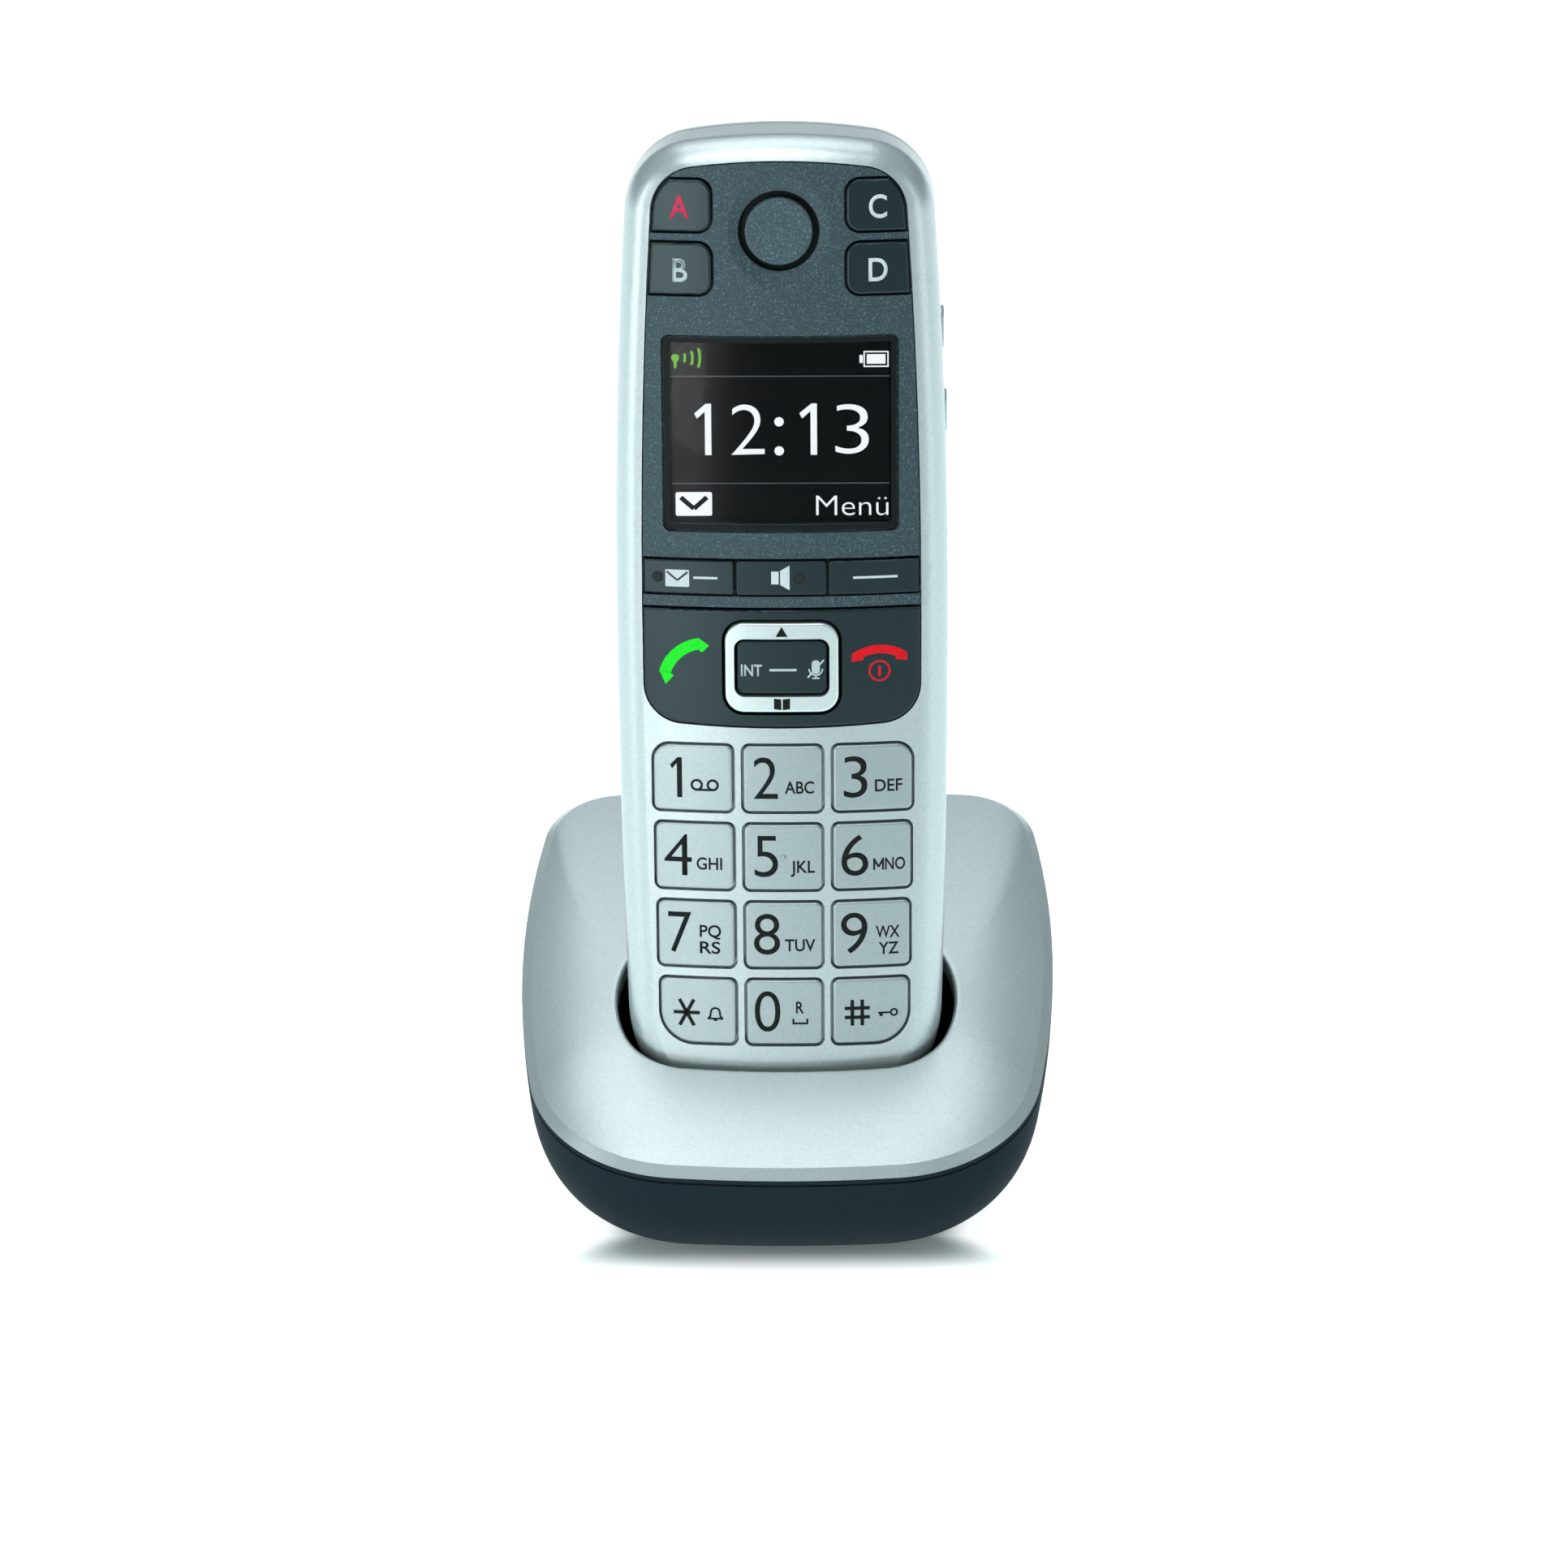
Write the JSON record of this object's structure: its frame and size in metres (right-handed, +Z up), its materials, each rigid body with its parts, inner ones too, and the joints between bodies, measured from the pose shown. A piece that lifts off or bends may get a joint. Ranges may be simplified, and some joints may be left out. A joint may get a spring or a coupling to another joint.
{
  "type": "cordless phone with base",
  "caption": "Slim silver cordless handset with keypad, call bar and colour display, standing upright in the slot of a rounded charging base with a dark bowl below.",
  "frame": {"origin": "on the standing surface, under the middle of the base's outline", "axes": "+Z up, -Y the front with the keys, +X to the right seen from the front"},
  "size_m": [0.0827, 0.0895, 0.1644],
  "materials": {
    "silver_paint": "satin silver metallic paint",
    "slate_plastic": "fine textured slate grey",
    "black_plastic": "satin black",
    "window_glass": "clear polished",
    "display_panel": "black display",
    "lamp_lens": "smoked clear lens",
    "contact_metal": "plated contact",
    "screw_steel": "zinc plated",
    "circuit_board": "green laminate",
    "soft_rubber": "matt rubber",
    "cell_can": "sleeved metal can"
  },
  "bodies": {
    "base": {"base_lower_shell": "slate_plastic", "base_top_cover": "silver_paint", "cradle_well": "black_plastic", "base_circuit_board": "circuit_board", "line_socket": "black_plastic", "power_socket": "black_plastic", "base_feet": "soft_rubber", "base_screws": "screw_steel", "screw_plugs": "slate_plastic"},
    "charge_pin_left": {"charge_pin_left": "contact_metal"},
    "charge_pin_right": {"charge_pin_right": "contact_metal"},
    "paging_key": {"paging_key": "black_plastic"},
    "handset": {"handset_front_cover": "silver_paint", "handset_rear_cover": "silver_paint", "faceplate": "slate_plastic", "earpiece_disc": "slate_plastic", "earpiece_receiver": "black_plastic", "display_window": "window_glass", "display_module": "display_panel", "keypad_mat": "soft_rubber", "handset_circuit_board": "circuit_board", "battery_cell_left": "cell_can", "battery_cell_right": "cell_can", "battery_contacts": "contact_metal", "handset_screws": "screw_steel", "handset_charge_contacts": "contact_metal", "microphone": "black_plastic", "ringer_speaker": "black_plastic"},
    "battery_door": {"battery_door": "silver_paint"},
    "call_bar": {"call_bar": "slate_plastic"},
    "navigation_ring": {"navigation_ring": "silver_paint"},
    "navigation_centre": {"navigation_centre": "slate_plastic"},
    "side_key_upper": {"side_key_upper": "silver_paint"},
    "side_key_lower": {"side_key_lower": "silver_paint"},
    "key_1": {"key_1": "silver_paint"},
    "key_2": {"key_2": "silver_paint"},
    "key_3": {"key_3": "silver_paint"},
    "key_4": {"key_4": "silver_paint"},
    "key_5": {"key_5": "silver_paint"},
    "key_6": {"key_6": "silver_paint"},
    "key_7": {"key_7": "silver_paint"},
    "key_8": {"key_8": "silver_paint"},
    "key_9": {"key_9": "silver_paint"},
    "key_star": {"key_star": "silver_paint"},
    "key_0": {"key_0": "silver_paint"},
    "key_hash": {"key_hash": "silver_paint"},
    "direct_key_a": {"direct_key_a": "slate_plastic"},
    "direct_key_b": {"direct_key_b": "slate_plastic"},
    "direct_key_c": {"direct_key_c": "slate_plastic"},
    "direct_key_d": {"direct_key_d": "slate_plastic"},
    "message_key": {"message_key": "slate_plastic", "message_led_lens": "lamp_lens"},
    "speaker_key": {"speaker_key": "slate_plastic", "speaker_led_lens": "lamp_lens"},
    "menu_key": {"menu_key": "slate_plastic"}
  },
  "joints": [
    {"name": "handset_lift", "type": "slide", "parent": "base", "child": "handset", "axis": [0, 0.2419, 0.9703], "range_m": [0, 0.06]},
    {"name": "battery_door_hinge", "type": "hinge", "parent": "handset", "child": "battery_door", "pos_m": [0, 0.00833, 0.0515], "axis": [-1, 0, 0], "range_deg": [0, 60]},
    {"name": "key_1_press", "type": "slide", "parent": "handset", "child": "key_1", "axis": [0, 0.9703, -0.2419], "range_m": [0, 0.0007], "stiffness_N_per_m": 1500},
    {"name": "key_2_press", "type": "slide", "parent": "handset", "child": "key_2", "axis": [0, 0.9703, -0.2419], "range_m": [0, 0.0007], "stiffness_N_per_m": 1500},
    {"name": "key_3_press", "type": "slide", "parent": "handset", "child": "key_3", "axis": [0, 0.9703, -0.2419], "range_m": [0, 0.0007], "stiffness_N_per_m": 1500},
    {"name": "key_4_press", "type": "slide", "parent": "handset", "child": "key_4", "axis": [0, 0.9703, -0.2419], "range_m": [0, 0.0007], "stiffness_N_per_m": 1500},
    {"name": "key_5_press", "type": "slide", "parent": "handset", "child": "key_5", "axis": [0, 0.9703, -0.2419], "range_m": [0, 0.0007], "stiffness_N_per_m": 1500},
    {"name": "key_6_press", "type": "slide", "parent": "handset", "child": "key_6", "axis": [0, 0.9703, -0.2419], "range_m": [0, 0.0007], "stiffness_N_per_m": 1500},
    {"name": "key_7_press", "type": "slide", "parent": "handset", "child": "key_7", "axis": [0, 0.9703, -0.2419], "range_m": [0, 0.0007], "stiffness_N_per_m": 1500},
    {"name": "key_8_press", "type": "slide", "parent": "handset", "child": "key_8", "axis": [0, 0.9703, -0.2419], "range_m": [0, 0.0007], "stiffness_N_per_m": 1500},
    {"name": "key_9_press", "type": "slide", "parent": "handset", "child": "key_9", "axis": [0, 0.9703, -0.2419], "range_m": [0, 0.0007], "stiffness_N_per_m": 1500},
    {"name": "key_star_press", "type": "slide", "parent": "handset", "child": "key_star", "axis": [0, 0.9703, -0.2419], "range_m": [0, 0.0007], "stiffness_N_per_m": 1500},
    {"name": "key_0_press", "type": "slide", "parent": "handset", "child": "key_0", "axis": [0, 0.9703, -0.2419], "range_m": [0, 0.0007], "stiffness_N_per_m": 1500},
    {"name": "key_hash_press", "type": "slide", "parent": "handset", "child": "key_hash", "axis": [0, 0.9703, -0.2419], "range_m": [0, 0.0007], "stiffness_N_per_m": 1500},
    {"name": "direct_key_a_press", "type": "slide", "parent": "handset", "child": "direct_key_a", "axis": [0, 0.9703, -0.2419], "range_m": [0, 0.0005], "stiffness_N_per_m": 1500},
    {"name": "direct_key_b_press", "type": "slide", "parent": "handset", "child": "direct_key_b", "axis": [0, 0.9703, -0.2419], "range_m": [0, 0.0005], "stiffness_N_per_m": 1500},
    {"name": "direct_key_c_press", "type": "slide", "parent": "handset", "child": "direct_key_c", "axis": [0, 0.9703, -0.2419], "range_m": [0, 0.0005], "stiffness_N_per_m": 1500},
    {"name": "direct_key_d_press", "type": "slide", "parent": "handset", "child": "direct_key_d", "axis": [0, 0.9703, -0.2419], "range_m": [0, 0.0005], "stiffness_N_per_m": 1500},
    {"name": "message_key_press", "type": "slide", "parent": "handset", "child": "message_key", "axis": [0, 0.9703, -0.2419], "range_m": [0, 0.0005], "stiffness_N_per_m": 1500},
    {"name": "speaker_key_press", "type": "slide", "parent": "handset", "child": "speaker_key", "axis": [0, 0.9703, -0.2419], "range_m": [0, 0.0005], "stiffness_N_per_m": 1500},
    {"name": "menu_key_press", "type": "slide", "parent": "handset", "child": "menu_key", "axis": [0, 0.9703, -0.2419], "range_m": [0, 0.0005], "stiffness_N_per_m": 1500},
    {"name": "side_key_upper_press", "type": "slide", "parent": "handset", "child": "side_key_upper", "axis": [-1, 0, 0], "range_m": [0, 0.0005], "stiffness_N_per_m": 1500},
    {"name": "side_key_lower_press", "type": "slide", "parent": "handset", "child": "side_key_lower", "axis": [-1, 0, 0], "range_m": [0, 0.0005], "stiffness_N_per_m": 1500},
    {"name": "paging_key_press", "type": "slide", "parent": "base", "child": "paging_key", "axis": [0, -1, 0], "range_m": [0, 0.0008], "stiffness_N_per_m": 1000},
    {"name": "charge_pin_left_press", "type": "slide", "parent": "base", "child": "charge_pin_left", "axis": [0, 0.2419, 0.9703], "range_m": [-0.001, 0], "stiffness_N_per_m": 500},
    {"name": "charge_pin_right_press", "type": "slide", "parent": "base", "child": "charge_pin_right", "axis": [0, 0.2419, 0.9703], "range_m": [-0.001, 0], "stiffness_N_per_m": 500},
    {"name": "call_bar_rock", "type": "hinge", "parent": "handset", "child": "call_bar", "pos_m": [0, -0.00735, 0.08813], "axis": [0, 0.2419, 0.9703], "range_deg": [-1.5, 1.5], "stiffness_Nm_per_rad": 0.5},
    {"name": "navigation_ring_rock", "type": "hinge", "parent": "handset", "child": "navigation_ring", "pos_m": [0, -0.00735, 0.08813], "axis": [1, 0, 0], "range_deg": [-2.5, 2.5], "stiffness_Nm_per_rad": 0.5},
    {"name": "navigation_centre_rock", "type": "hinge", "parent": "handset", "child": "navigation_centre", "pos_m": [0, -0.00735, 0.08813], "axis": [0, 0.2419, 0.9703], "range_deg": [-2.5, 2.5], "stiffness_Nm_per_rad": 0.5}
  ]
}
